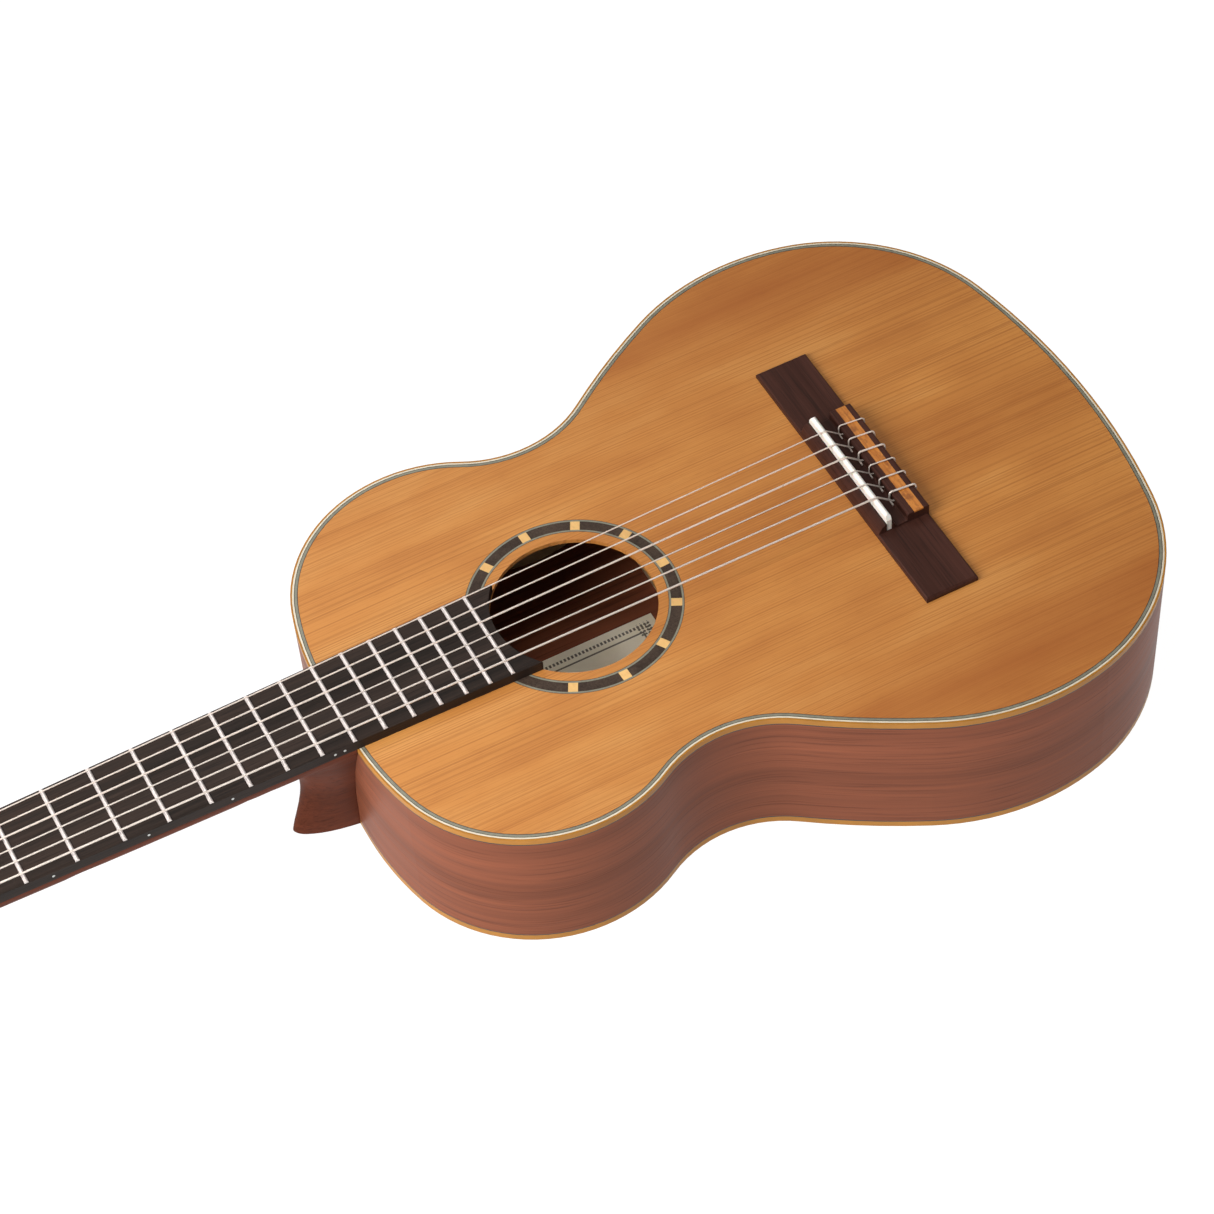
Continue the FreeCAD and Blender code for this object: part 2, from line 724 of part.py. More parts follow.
def string_slots():
    """The two long slots with rounded ends, and the ramps that let the strings down into them."""
    cuts = []
    middle = sum(SLOT_Y) / 2
    radius = (SLOT_Y[1] - SLOT_Y[0]) / 2
    for sign in (1, -1):
        y0, y1 = sign * SLOT_Y[0], sign * SLOT_Y[1]
        cuts.append(box(SLOT_X[0] + radius, SLOT_X[1] - radius, y0, y1, -HEAD_T - 1, 1))
        for x in (SLOT_X[0] + radius, SLOT_X[1] - radius):
            cuts.append(Part.makeCylinder(radius, HEAD_T + 2, V(x, sign * middle, -HEAD_T - 1)))
        ramp = [V(RAMP_FROM, y0, 0), V(RAMP_FROM, y0, 1), V(SLOT_X[1] - radius, y0, 1)]
        ramp.append(V(SLOT_X[1] - radius, y0, -RAMP_DEPTH))
        face = Part.Face(Part.makePolygon(ramp + ramp[:1]))
        cuts.append(face.extrude(V(0, y1 - y0, 0)))
    return fused(cuts)


def head_veneer():
    """The dark facing glued to the front of the head."""
    sheet = head_plan().extrude(V(0, 0, -VENEER_T)).cut(string_slots())
    behind_nut = box(HEAD_ORIGIN.x, 0, -50, 50, 0, 200)
    return placed(sheet).cut(behind_nut)


def heel():
    """The heel: level sections, each half an ellipse, down to a cap that rises towards its tip."""
    sections = (  # height above the back, reach along the neck, half width
        (DEPTH - 4.0, 62.0, 26.4),
        (DEPTH - 12.0, 50.0, 23.3),
        (DEPTH - 20.0, 37.0, 20.3),
        (DEPTH - 30.0, 28.0, 17.0),
        (DEPTH - 44.0, 24.6, 13.4),
        (DEPTH - 58.0, 26.5, 11.0),
        (DEPTH - 72.0, 31.0, 9.6),
        (DEPTH - 82.0, 33.8, 8.9),
        (1.0, 34.2, 8.6),
    )
    cap_low, cap_high, past = 1.0, 9.0, 40.0
    wires = []
    for z, reach, half in sections:
        ends = [V(JOIN_X, -half, z), V(JOIN_X, half, z)]
        rim = Part.BSplineCurve()
        angles = [math.pi / 2 * (1 - step / 5) for step in range(11)]
        rim.interpolate([V(JOIN_X - reach * math.cos(a), -half * math.sin(a), z) for a in angles])
        wires.append(Part.Wire([rim.toShape(), Part.LineSegment(ends[1], ends[0]).toShape()]))
    below_cap = prism_y(
        ((JOIN_X + 1, 0), (JOIN_X + 1, cap_low), (JOIN_X, cap_low), (JOIN_X - past, cap_high), (JOIN_X - past, 0)),
        half_width=past,
    )
    return Part.makeLoft(wires, True, False).cut(below_cap)


def neck(screws):
    """Neck shaft, heel and slotted head, all one piece of wood, bored for the rollers."""
    shaft = Part.makeLoft(
        [
            back_curve(board_half_width(JOIN_X), NECK_DEPTH_HEEL, NECK_EXPONENT, at_x(JOIN_X)),
            back_curve(board_half_width(NUT_X + 14), NECK_DEPTH_NUT, NECK_EXPONENT, at_x(NUT_X + 14)),
        ],
        True,
        True,
    )
    throat = Part.makeLoft(
        [
            back_curve(board_half_width(NUT_X + 14), NECK_DEPTH_NUT, NECK_EXPONENT, at_x(NUT_X + 14)),
            back_curve(board_half_width(NUT_X), 16.5, 2.4, at_x(NUT_X - 1)),
            back_curve(22.6, 17.4, 2.8, in_head(-3.5)),
            back_curve(26.0, 18.6, 4.0, in_head(-12.0)),
            back_curve(HEAD_HALF_W, HEAD_T, 9.0, in_head(HEAD_SQUARE_FROM)),
        ],
        True,
        False,
    )
    block = head_plan().extrude(V(0, 0, -HEAD_T))
    block = block.common(box(-200, HEAD_SQUARE_FROM, -60, 60, -HEAD_T, 0))
    shape = fused([shaft, throat, heel(), placed(block)])
    cuts = [string_slots()]
    for sign in (1, -1):
        for x in ROLLER_X:
            start, end = ROLLER_Y[0] - 0.6, HEAD_HALF_W + 1
            cuts.append(cylinder_y(x, ROLLER_Z, ROLLER_HOLE_R, sign * start, sign * end))
    before_nut = box(HEAD_TIP * 2 + HEAD_ORIGIN.x, HEAD_ORIGIN.x, -60, 60, 0, 2 * DEPTH)
    facing = placed(head_plan().extrude(V(0, 0, -VENEER_T))).common(before_nut)
    above_head = placed(box(2 * HEAD_TIP, 60, -60, 60, 0, 60)).common(before_nut)
    above_board = box(HEAD_ORIGIN.x, JOIN_X, -60, 60, DEPTH, 2 * DEPTH)
    for cut in (placed(fused(cuts)), facing, above_head, above_board, screws):
        shape = shape.cut(cut)
    return shape


# ---------------------------------------------------------------- tuning machines

WORM_X = MODULE * GEAR_TEETH / 2 + WORM_PITCH_R  # centre distance, towards the nut
AXIS_Y = GEAR_Y + GEAR_T / 2  # the worm's axis, level with the gear's middle
LEAD = math.pi * MODULE


def screws_for(sign):
    """Wood screws that hold one machine plate."""
    made = []
    face = HEAD_HALF_W + PLATE_T
    for x in PLATE_SCREWS_X:
        shank = cylinder_y(x, ROLLER_Z, SCREW_R, sign * face, sign * (face - SCREW_L))
        head = cylinder_y(x, ROLLER_Z, SCREW_HEAD_R, sign * face, sign * (face + 1.3))
        slot = box(x - 0.3, x + 0.3, sign * (face + 0.8), sign * (face + 2), ROLLER_Z - 4, ROLLER_Z + 4)
        made.append(fused([shank, head]).cut(slot))
    return made


def machine_plate(sign, screws):
    """Side plate with bearing holes for the rollers and a pair of bored tabs for each worm."""
    inner, outer = HEAD_HALF_W, HEAD_HALF_W + PLATE_T
    corner = 4.0
    z0, z1 = PLATE_Z
    x0, x1 = PLATE_X
    pieces = [
        box(x0 + corner, x1 - corner, sign * inner, sign * outer, z0, z1),
        box(x0, x1, sign * inner, sign * outer, z0 + corner, z1 - corner),
    ]
    for x in (x0 + corner, x1 - corner):
        for z in (z0 + corner, z1 - corner):
            pieces.append(cylinder_y(x, z, corner, sign * inner, sign * outer))
    for x in ROLLER_X:
        worm_x = x + WORM_X
        for low in (ROLLER_Z + WORM_L / 2 + 0.35, ROLLER_Z - WORM_L / 2 - 0.35 - TAB_T):
            ear = box(
                worm_x - TAB_HALF_W, worm_x + TAB_HALF_W, sign * outer, sign * AXIS_Y, low, low + TAB_T
            )
            tip = Part.makeCylinder(TAB_HALF_W, TAB_T, V(worm_x, sign * AXIS_Y, low))
            pieces.append(fused([ear, tip]))
    plate = fused(pieces)
    for x in ROLLER_X:
        hole = cylinder_y(x, ROLLER_Z, BEARING_R + RUNNING_GAP, sign * (inner - 1), sign * (outer + 1))
        bore = Part.makeCylinder(SHAFT_R + RUNNING_GAP, 30, V(x + WORM_X, sign * AXIS_Y, ROLLER_Z - 15))
        plate = plate.cut(hole).cut(bore)
    for screw in screws:
        plate = plate.cut(screw)
    return placed(plate)


def worm(sign, x):
    """Worm and shaft in one piece, headed at the top, running down into the button."""
    root = WORM_PITCH_R - TOOTH_DEDENDUM * MODULE
    tip = WORM_PITCH_R + TOOTH_ADDENDUM
    core_half, crest_half = 0.66, 0.26
    helix = Part.makeHelix(LEAD, WORM_L + 2 * LEAD, root)
    profile = [
        V(root - 0.2, 0, -core_half),
        V(tip, 0, -crest_half),
        V(tip, 0, crest_half),
        V(root - 0.2, 0, core_half),
    ]
    rim = Part.makePolygon(profile + profile[:1])
    thread = Part.Wire(helix.Edges).makePipeShell([rim], True, True)
    # At rest a gap of the thread faces the gear, level with the gear's axis: the thread's centre passes
    # the gear's side half a lead away from it.
    thread.rotate(V(0, 0, 0), V(0, 0, 1), 180)
    thread.translate(V(0, 0, LEAD / 2 - math.ceil(WORM_L / 2 / LEAD + 1) * LEAD))
    thread = thread.common(Part.makeCylinder(tip + 1, WORM_L, V(0, 0, -WORM_L / 2)))
    core = Part.makeCylinder(root, WORM_L, V(0, 0, -WORM_L / 2))
    low = SHAFT_END - ROLLER_Z
    shaft = Part.makeCylinder(SHAFT_R, SHAFT_TOP - low, V(0, 0, low))
    head_z = WORM_L / 2 + 0.35 + TAB_T + 0.15
    head = Part.makeCylinder(2.2, SHAFT_TOP - head_z + 0.3, V(0, 0, head_z))
    shape = fused([core, thread, shaft, head])
    shape.translate(V(x + WORM_X, sign * AXIS_Y, ROLLER_Z))
    return placed(shape)


def button(sign, x):
    """Oval finger button, moulded on the end of the worm's shaft."""
    wires = []
    for depth, long_half, short_half in BUTTON_SECTIONS:
        ellipse = Part.Ellipse(V(0, 0, BUTTON_TOP - depth), long_half, short_half)
        wires.append(Part.Wire(ellipse.toShape()))
    shape = Part.makeLoft(wires, True, False)
    shape.translate(V(x + WORM_X, sign * AXIS_Y, 0))
    low = Part.makeCylinder(SHAFT_R, 40, V(x + WORM_X, sign * AXIS_Y, SHAFT_END))
    return placed(shape.cut(low))


def gear_outline(y, turn):
    """The gear's closed tooth outline at one height along its axis."""
    pitch_r = MODULE * GEAR_TEETH / 2
    root_r, tip_r = pitch_r - TOOTH_DEDENDUM * MODULE, pitch_r + TOOTH_ADDENDUM
    root_half, tip_half = 0.78, 0.30  # half widths of a tooth at its root and tip
    points = []
    for tooth in range(GEAR_TEETH):
        middle = 2 * math.pi * tooth / GEAR_TEETH + turn
        for radius, half in ((root_r, -root_half), (tip_r, -tip_half), (tip_r, tip_half), (root_r, root_half)):
            angle = middle + half / radius
            points.append(V(radius * math.cos(angle), y, -radius * math.sin(angle)))
    return Part.makePolygon(points + points[:1])


def gear(sign, x):
    """Gear with teeth slanted to the worm's lead, and the screw that holds it on the roller."""
    slant = LEAD / (2 * math.pi * WORM_PITCH_R)
    twist = GEAR_T / 2 * slant / (MODULE * GEAR_TEETH / 2)
    wires = [gear_outline(-GEAR_T / 2, -twist), gear_outline(GEAR_T / 2, twist)]
    wheel = Part.makeLoft(wires, True, True)
    wheel = wheel.cut(cylinder_y(0, 0, GEAR_SEAT_R, -GEAR_T, GEAR_T))
    head_r, head_h, shank_r, shank_l = GEAR_SCREW
    face = sign * GEAR_T / 2
    head = cylinder_y(0, 0, head_r, face, face + sign * head_h)
    shank = cylinder_y(0, 0, shank_r, face, face - sign * shank_l)
    slot = box(-0.35, 0.35, face + sign * (head_h - 0.6), face + sign * (head_h + 1), -5, 5)
    shape = group([wheel, fused([head, shank]).cut(slot)])
    shape.translate(V(x, sign * AXIS_Y, ROLLER_Z))
    return placed(shape)


def roller(number):
    """String roller with its bearing and gear seat, and the string's turns on it as one closed sleeve."""
    sign, place = string_seat(number)
    x = ROLLER_X[place]
    outer = AXIS_Y + GEAR_T / 2
    barrel = cylinder_y(x, ROLLER_Z, ROLLER_R, sign * ROLLER_Y[0], sign * ROLLER_Y[1])
    bearing = cylinder_y(x, ROLLER_Z, BEARING_R, sign * ROLLER_Y[1], sign * GEAR_Y)
    seat = cylinder_y(x, ROLLER_Z, GEAR_SEAT_R, sign * GEAR_Y, sign * outer)
    screw = cylinder_y(x, ROLLER_Z, GEAR_SCREW[2], sign * outer, sign * (outer - GEAR_SCREW[3]))
    post = fused([barrel, bearing, seat]).cut(screw)
    d = STRING_D[number]
    near = STRING_LANDING[place] + WINDING_SIDE[place] * (d / 2 + STRING_GAP)
    far = near + WINDING_SIDE[place] * WINDING_TURNS * d
    sleeve = cylinder_y(x, ROLLER_Z, ROLLER_R + d, sign * near, sign * far)
    sleeve = sleeve.cut(cylinder_y(x, ROLLER_Z, ROLLER_R, sign * near, sign * far))
    return placed(group([post, sleeve]))


# ---------------------------------------------------------------- assembly


def build():
    """Every sub-part, by node name."""
    blocks = end_blocks()
    squares = rosette_squares()
    dark, pale = rosette_rings(ROSETTE_DARK), rosette_rings(ROSETTE_PALE)
    dark[1] = dark[1].cut(squares)
    fret_group, dots = frets(), side_dots()
    screws = {sign: screws_for(sign) for sign in (1, -1)}
    all_screws = placed(group(screws[1] + screws[-1]))
    veneer = head_veneer()
    parts = {
        "soundboard": soundboard(),
        "back_plate": body_slab(BINDING_T, 0, BACK_T),
        "side_bass": side(-1),
        "side_treble": side(1),
        "top_binding": body_ring(0, BINDING_T, DEPTH - TOP_BINDING_H, DEPTH),
        "edge_line": body_ring(*EDGE_LINE, DEPTH - INLAY_DEPTH, DEPTH),
        "purfling_dark": purfling_dark(),
        "purfling_pale": body_ring(*PURFLING_PALE, DEPTH - INLAY_DEPTH, DEPTH),
        "back_binding": body_ring(0, BINDING_T, 0, BACK_BINDING_H),
        "neck_block": blocks[0],
        "tail_block": blocks[1],
        "linings": linings(blocks),
        "soundboard_braces": soundboard_braces(),
        "back_braces": back_braces(blocks[1]),
        "label": box(*LABEL_X, -LABEL_HALF_W, LABEL_HALF_W, BACK_T, BACK_T + LABEL_T),
        "rosette_band": group(dark),
        "rosette_squares": squares,
        "rosette_lines": group(pale),
        "bridge": bridge(),
        "saddle": saddle(),
        "tie_block_inlay": inlay_strip(),
        "neck": neck(all_screws),
        "head_veneer": veneer,
        "fingerboard": fingerboard(fret_group, dots),
        "frets": fret_group,
        "side_dots": dots,
        "nut": nut(),
        "machine_plate_treble": machine_plate(1, screws[1]),
        "machine_plate_bass": machine_plate(-1, screws[-1]),
        "plate_screws": all_screws,
    }
    for number in range(6):
        sign, place = string_seat(number)
        x = ROLLER_X[place]
        label = number + 1
        parts[f"string_{label}"] = string(number)
        parts[f"roller_{label}"] = roller(number)
        parts[f"gear_{label}"] = gear(sign, x)
        parts[f"worm_{label}"] = worm(sign, x)
        parts[f"button_{label}"] = button(sign, x)
    return parts


if __name__ == "__main__":
    os.makedirs(OUT, exist_ok=True)
    for name, shape in build().items():
        shape.exportStep(os.path.join(OUT, name + ".step"))
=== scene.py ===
"""Looks of the small classical guitar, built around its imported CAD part. Metres, in the part's own frame:
+X from the head to the tail, +Y to the treble side, +Z out of the soundboard."""

import math

import bmesh
import bpy
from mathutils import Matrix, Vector


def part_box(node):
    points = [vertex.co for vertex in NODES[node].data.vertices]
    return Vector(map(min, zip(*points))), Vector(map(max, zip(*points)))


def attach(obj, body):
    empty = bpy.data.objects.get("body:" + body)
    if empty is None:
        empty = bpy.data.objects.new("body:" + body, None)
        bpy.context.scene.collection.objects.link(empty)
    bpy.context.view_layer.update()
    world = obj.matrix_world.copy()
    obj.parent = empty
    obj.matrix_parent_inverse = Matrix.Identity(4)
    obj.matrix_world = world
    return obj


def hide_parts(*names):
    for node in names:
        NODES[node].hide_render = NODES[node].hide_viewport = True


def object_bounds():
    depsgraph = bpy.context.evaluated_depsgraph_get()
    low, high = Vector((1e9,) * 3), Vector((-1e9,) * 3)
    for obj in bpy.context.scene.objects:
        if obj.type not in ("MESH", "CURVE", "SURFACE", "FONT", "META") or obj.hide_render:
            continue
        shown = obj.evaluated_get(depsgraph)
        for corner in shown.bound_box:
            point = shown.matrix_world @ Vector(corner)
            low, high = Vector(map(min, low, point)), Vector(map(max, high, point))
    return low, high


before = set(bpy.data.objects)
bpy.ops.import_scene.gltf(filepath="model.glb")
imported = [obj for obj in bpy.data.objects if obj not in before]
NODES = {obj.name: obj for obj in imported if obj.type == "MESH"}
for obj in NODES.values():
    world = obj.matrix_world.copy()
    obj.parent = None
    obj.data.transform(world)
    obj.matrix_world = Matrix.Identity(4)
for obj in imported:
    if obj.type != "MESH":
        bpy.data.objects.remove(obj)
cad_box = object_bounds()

MM = 0.001
scene = bpy.context.scene

# ---------------------------------------------------------------- camera

CAMERA_AT = (-0.5049, -0.9986, 1.4569)
CAMERA_TURN_DEG = (38.185, 3.056, -27.639)
LENS_MM = 102.03
SENSOR_MM = 36.0

camera_data = bpy.data.cameras.new("camera")
camera_data.lens = LENS_MM
camera_data.sensor_width = SENSOR_MM
camera_data.clip_start = 0.05
camera_data.clip_end = 50.0
camera = bpy.data.objects.new("camera", camera_data)
camera.location = CAMERA_AT
camera.rotation_euler = [math.radians(turn) for turn in CAMERA_TURN_DEG]
scene.collection.objects.link(camera)
scene.camera = camera
scene.view_settings.view_transform = "Standard"

# ---------------------------------------------------------------- materials

# Colours are linear, rates are per metre and lengths are in metres.
CEDAR_DEEP = (0.41, 0.143, 0.028)
CEDAR_MAIN = (0.525, 0.213, 0.047)
CEDAR_PALE = (0.61, 0.286, 0.077)
CEDAR_LINE = (0.25, 0.075, 0.015)
# The colour of the painted shade along the lower bout's edges.
CEDAR_EDGE_SHADE = (0.33, 0.095, 0.018)

MAHOGANY = {"dark": (0.158, 0.049, 0.025), "light": (0.260, 0.080, 0.039), "pore": (0.09, 0.027, 0.014)}
NECK = {"dark": (0.088, 0.023, 0.011), "light": (0.155, 0.041, 0.020), "pore": (0.050, 0.014, 0.007)}
SPRUCE = {"dark": (0.48, 0.34, 0.19), "light": (0.66, 0.51, 0.32), "pore": (0.36, 0.23, 0.12)}
EBONY = {"dark": (0.012, 0.008, 0.006), "light": (0.041, 0.026, 0.020), "pore": (0.004, 0.003, 0.003)}
ROSEWOOD = {"dark": (0.034, 0.012, 0.008), "light": (0.070, 0.025, 0.017), "pore": (0.018, 0.008, 0.006)}
DYED = {"dark": (0.034, 0.022, 0.016), "light": (0.070, 0.047, 0.034), "pore": (0.015, 0.010, 0.008)}
MAPLE = {"dark": (0.62, 0.36, 0.125), "light": (0.78, 0.48, 0.18), "pore": (0.5, 0.27, 0.1)}
HONEY = (0.43, 0.185, 0.030)
BONE = (0.86, 0.83, 0.76)

# How fast the grain varies along X, Y and Z.
ALONG_X = (9.0, 420.0, 420.0)
LEVEL = (7.0, 7.0, 380.0)
FRET_WEAR = (900.0, 60.0, 900.0)
FIGURE_RATE = 0.09  # the broad figure's rate, as a share of the grain's
PORE_RATE = 2.6  # the pores' rate, as a multiple of the grain's
FIGURE_SHARE = 0.55  # how much of the tone is broad figure; the rest is fine lines

# Where the soundboard's tone, its painted light and its painted shade change, from the body's middle: along
# X, and out to either side.
# Painted light: along X the top is painted paler towards the head, where more light falls, and deeper
# towards the tail.
PAINTED_LIGHT_FALLOFF_X = (-0.20, 0.04)
# Painted shade along the lower bout's edges: where it grows stronger along X, and how far out it lies to
# either side.
EDGE_SHADE_RAMP_X = (-0.05, 0.05)
EDGE_SHADE_Y = (0.06, 0.13)
SEAM_HALF = 0.00015

WINDING_PITCH = 0.00028

# The label's pattern, measured in from the edge of the paper.
TICKS_FROM, TICKS_TO = 0.0044, 0.0064
TICK_PITCH = 0.0022
RULE_AT, RULE_HALF = 0.0096, 0.0005
CORNER_SIZE = 0.0118
LATTICE_FROM = 0.0034
LATTICE_PITCH = 0.0042


class Finish:
    """A material's node tree, with short calls for its nodes. Keywords set the shader's sockets."""

    def __init__(self, name, **shader):
        self.material = bpy.data.materials.new(name)
        self.material.use_nodes = True
        self.tree = self.material.node_tree
        self.shader = self.tree.nodes["Principled BSDF"]
        for socket, value in shader.items():
            self.shader.inputs[socket.replace("_", " ").title().replace("Ior", "IOR")].default_value = value
        self.place = self.add("ShaderNodeTexCoord").outputs["Object"]

    def add(self, kind, inputs=None, **settings):
        """A node with its settings and inputs; an input is a value or another node's output."""
        node = self.tree.nodes.new(kind)
        for key, value in settings.items():
            setattr(node, key, value)
        for key, value in (inputs or {}).items():
            if isinstance(value, bpy.types.NodeSocket):
                self.tree.links.new(value, node.inputs[key])
            else:
                node.inputs[key].default_value = value
        return node

    def math(self, operation, *values):
        """One arithmetic step."""
        return self.add("ShaderNodeMath", dict(enumerate(values)), operation=operation).outputs[0]

    def blend(self, first, second, share):
        """Two values added up, with the given share of the second."""
        rest = self.math("MULTIPLY", first, 1 - share)
        return self.math("ADD", rest, self.math("MULTIPLY", second, share))

    def scaled(self, vector, scale):
        """A vector multiplied axis by axis."""
        node = self.add("ShaderNodeVectorMath", {0: vector, 1: scale}, operation="MULTIPLY")
        return node.outputs[0]

    def noise(self, vector, scale=1.0, detail=2.0, roughness=0.5, distortion=0.0):
        """Smooth noise, about 0 to 1."""
        settings = {
            "Vector": vector,
            "Scale": scale,
            "Detail": detail,
            "Roughness": roughness,
            "Distortion": distortion,
        }
        return self.add("ShaderNodeTexNoise", settings).outputs["Fac"]

    def ramp(self, factor, *stops):
        """A colour for each factor, from stops given as a place from 0 to 1 and a colour."""
        node = self.add("ShaderNodeValToRGB", {"Fac": factor})
        elements = node.color_ramp.elements
        while len(elements) < len(stops):
            elements.new(0.5)
        for element, (position, colour) in zip(elements, stops):
            element.position = position
            element.color = (*colour, 1.0)
        return node.outputs["Color"]

    def remap(self, value, low, high, to_low=0.0, to_high=1.0):
        """A clamped change of range."""
        inputs = {"Value": value, "From Min": low, "From Max": high, "To Min": to_low, "To Max": to_high}
        return self.add("ShaderNodeMapRange", inputs).outputs["Result"]

    def mix(self, factor, first, second):
        """Two colours mixed; a colour is a socket or three numbers."""
        node = self.add("ShaderNodeMix", data_type="RGBA")
        for key, value in ((0, factor), (6, first), (7, second)):
            if isinstance(value, bpy.types.NodeSocket):
                self.tree.links.new(value, node.inputs[key])
            else:
                node.inputs[key].default_value = value if key == 0 else (*value, 1.0)
        return node.outputs[2]

    def finish(self, colour, rough, height=None, depth=0.0001, strength=0.5, soften=0.0):
        """Joins colour, roughness and a bump of the given depth to the shader; soften rounds hard edges."""
        links = self.tree.links
        links.new(colour, self.shader.inputs["Base Color"])
        links.new(rough, self.shader.inputs["Roughness"])
        normal = None
        if soften:
            normal = self.add("ShaderNodeBevel", {"Radius": soften}, samples=4).outputs[0]
        if height is not None:
            inputs = {"Height": height, "Distance": depth, "Strength": strength}
            if normal:
                inputs["Normal"] = normal
            normal = self.add("ShaderNodeBump", inputs).outputs[0]
        if normal:
            links.new(normal, self.shader.inputs["Normal"])
        return self.material


def wood(name, grain, dark, light, pore, pores=0.5, rough=(0.35, 0.5), soften=0.0, gloss=0.25, **shader):
    """Straight-grained wood. grain is how fast it varies along each axis, pores how much its pores show."""
    f = Finish(name, specular_ior_level=gloss, **shader)
    lines = f.noise(f.scaled(f.place, grain), detail=4.0, roughness=0.65)
    broad = f.noise(f.scaled(f.place, [g * FIGURE_RATE for g in grain]), detail=2.0, distortion=0.3)
    colour = f.ramp(f.blend(lines, broad, FIGURE_SHARE), (0.36, dark), (0.64, light))
    fleck = f.noise(f.scaled(f.place, [g * PORE_RATE for g in grain]), detail=1.0)
    fleck = f.remap(fleck, 0.56, 0.7)
    colour = f.mix(f.math("MULTIPLY", fleck, pores), colour, pore)
    height = f.math("SUBTRACT", f.math("MULTIPLY", lines, 0.5), f.math("MULTIPLY", fleck, pores))
    roughness = f.remap(lines, 0.3, 0.7, *rough)
    return f.finish(colour, roughness, height, depth=0.00008, soften=soften)


def cedar():
    """Quarter-sawn cedar in two matched halves: fine straight rings, broad bands and dark streaks, with
    painted light that makes it paler towards the head and painted shade that darkens the lower bout's edges.
    """
    f = Finish("cedar", coat_weight=0.05, coat_roughness=0.4, specular_ior_level=0.28)

    def figure(vector, along, across, **settings):
        """Noise at one rate along the board and another across it."""
        return f.noise(f.scaled(vector, (along, across, 0.0)), **settings)

    axes = f.add("ShaderNodeSeparateXYZ", {0: f.place})
    x = axes.outputs["X"]
    off_centre = f.math("ABSOLUTE", axes.outputs["Y"])
    both = f.add("ShaderNodeCombineXYZ", {"X": x, "Y": off_centre}).outputs[0]
    drift = figure(both, 1.6, 7.0, detail=1.0)
    across = f.math("ADD", off_centre, f.math("MULTIPLY", drift, 0.008))
    rings_at = f.add("ShaderNodeCombineXYZ", {"X": x, "Y": across}).outputs[0]
    fine = figure(rings_at, 1.5, 1150.0, detail=1.0)
    groups = figure(rings_at, 1.2, 170.0, detail=2.0, roughness=0.6)
    broad = figure(rings_at, 1.6, 15.0, detail=2.5, roughness=0.55)
    mottle = figure(both, 16.0, 42.0, detail=2.0)
    tone = f.blend(broad, mottle, 0.34)
    # Painted light: paler towards the head and deeper towards the tail, as the light falls off.
    tone = f.math("ADD", tone, f.remap(x, *PAINTED_LIGHT_FALLOFF_X, 0.05, -0.03))
    colour = f.ramp(tone, (0.34, CEDAR_DEEP), (0.5, CEDAR_MAIN), (0.64, CEDAR_PALE))
    line = f.math("MULTIPLY", f.remap(fine, 0.44, 0.68), f.remap(groups, 0.4, 0.62, 0.34, 0.54))
    colour = f.mix(line, colour, CEDAR_LINE)
    streak = f.remap(groups, 0.62, 0.72, 0.0, 0.1)
    colour = f.mix(streak, colour, CEDAR_LINE)
    # Painted shade: the lower bout is darker towards its edges, away from the centre line, where less light
    # falls; its strength varies with the broad figure.
    edge_shade = f.remap(off_centre, *EDGE_SHADE_Y, 0.0, 0.6)
    edge_shade = f.math("MULTIPLY", edge_shade, f.remap(x, *EDGE_SHADE_RAMP_X, 0.4, 1.0))
    band = f.math("MULTIPLY", edge_shade, f.remap(broad, 0.62, 0.42, 0.4, 1.0))
    colour = f.mix(band, colour, CEDAR_EDGE_SHADE)
    fleck = f.remap(figure(both, 110.0, 1700.0, detail=1.0), 0.6, 0.74, 0.0, 0.25)
    colour = f.mix(fleck, colour, CEDAR_LINE)
    seam = f.remap(off_centre, 0.0, SEAM_HALF, 0.35, 0.0)
    colour = f.mix(seam, colour, CEDAR_LINE)
    return f.finish(colour, f.remap(fine, 0.3, 0.7, 0.42, 0.5), fine, depth=0.00003, strength=0.3)


def metal(name, colour, rough=(0.18, 0.34), grain=(300.0, 300.0, 300.0), metallic=1.0):
    """Plated or polished metal with faint wear. grain is how fast the wear varies along each axis."""
    f = Finish(name, metallic=metallic)
    wear = f.noise(f.scaled(f.place, grain), detail=3.0)
    tint = f.ramp(wear, (0.3, [c * 0.86 for c in colour]), (0.7, colour))
    return f.finish(tint, f.remap(wear, 0.3, 0.7, *rough), wear, depth=0.00002, strength=0.2)


def smooth(name, colour, rough, scale=120.0, shade=0.9, soften=0.0, **shader):
    """Bone, plastic, nylon or a plain strip: an even colour with faint cloudiness."""
    f = Finish(name, coat_roughness=0.1, subsurface_scale=0.001, **shader)
    cloud = f.noise(f.place, scale=scale, detail=4.0, roughness=0.6)
    tint = f.ramp(cloud, (0.3, [c * shade for c in colour]), (0.7, colour))
    roughness = f.remap(cloud, 0.3, 0.7, rough * 0.85, rough * 1.15)
    return f.finish(tint, roughness, cloud, depth=0.00002, strength=0.2, soften=soften)


def wound(name, coordinate):
    """Silvered wire wound round the core, in fine turns across a coordinate that runs along the string, with
    painted shade in the grooves between the turns.
    """
    f = Finish(name, metallic=0.35)
    source = f.add("ShaderNodeTexCoord").outputs[coordinate]
    along = f.add("ShaderNodeSeparateXYZ", {0: source}).outputs["X"]
    wave = f.remap(f.math("SINE", f.math("MULTIPLY", along, 2 * math.pi / WINDING_PITCH)), -1.0, 1.0)
    # Painted shade: the colour darkens into the grooves between the turns.
    colour = f.ramp(wave, (0.0, (0.42, 0.36, 0.31)), (0.6, (0.84, 0.74, 0.66)))
    return f.finish(colour, f.remap(wave, 0.0, 1.0, 0.42, 0.28), wave, depth=0.00005, strength=0.5)


